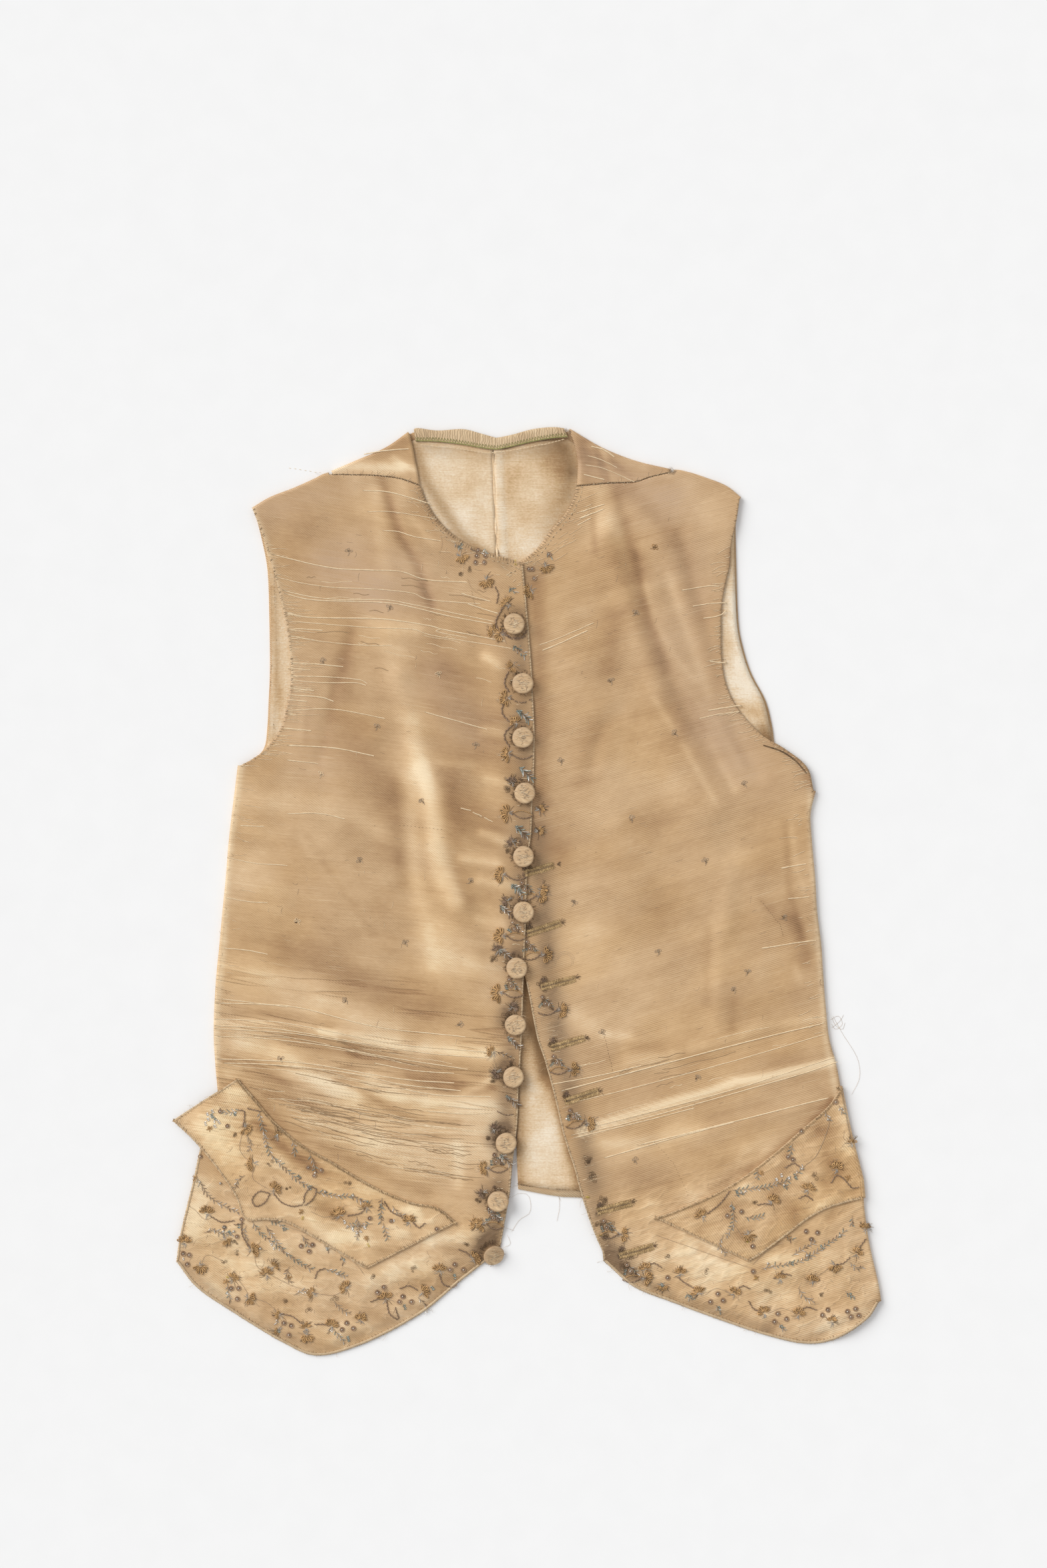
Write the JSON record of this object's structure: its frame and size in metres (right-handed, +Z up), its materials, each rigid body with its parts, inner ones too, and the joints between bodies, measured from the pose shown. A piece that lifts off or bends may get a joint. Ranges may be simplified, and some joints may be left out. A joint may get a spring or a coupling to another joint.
{
  "type": "waistcoat",
  "caption": "Sleeveless embroidered silk waistcoat laid flat: buttoned overlapping fronts, round neck, cut-away skirts, two pointed pocket flaps and a lined plain back",
  "frame": {"origin": "middle of the garment's plan outline, on the surface it lies on", "axes": "+X across the garment toward the front with the buttonholes, +Y toward the neck, +Z up out of the fronts"},
  "size_m": [0.5306, 0.6957, 0.0123],
  "materials": {
    "silk": "satin, worn gold-tan",
    "lining": "matt cream",
    "band": "ribbed, gold-tan",
    "button": "satin over a hard core"
  },
  "bodies": {
    "root": {"back_left": "silk", "back_right": "silk", "lining_left": "lining", "lining_right": "lining", "front_button_side": "silk", "front_buttonhole_side": "silk", "flap_left": "silk", "flap_right": "silk", "neck_band": "band", "button_01": "button", "button_02": "button", "button_03": "button", "button_04": "button", "button_05": "button", "button_06": "button", "button_07": "button", "button_08": "button", "button_09": "button", "button_10": "button", "button_11": "button", "button_12": "button"}
  },
  "joints": []
}
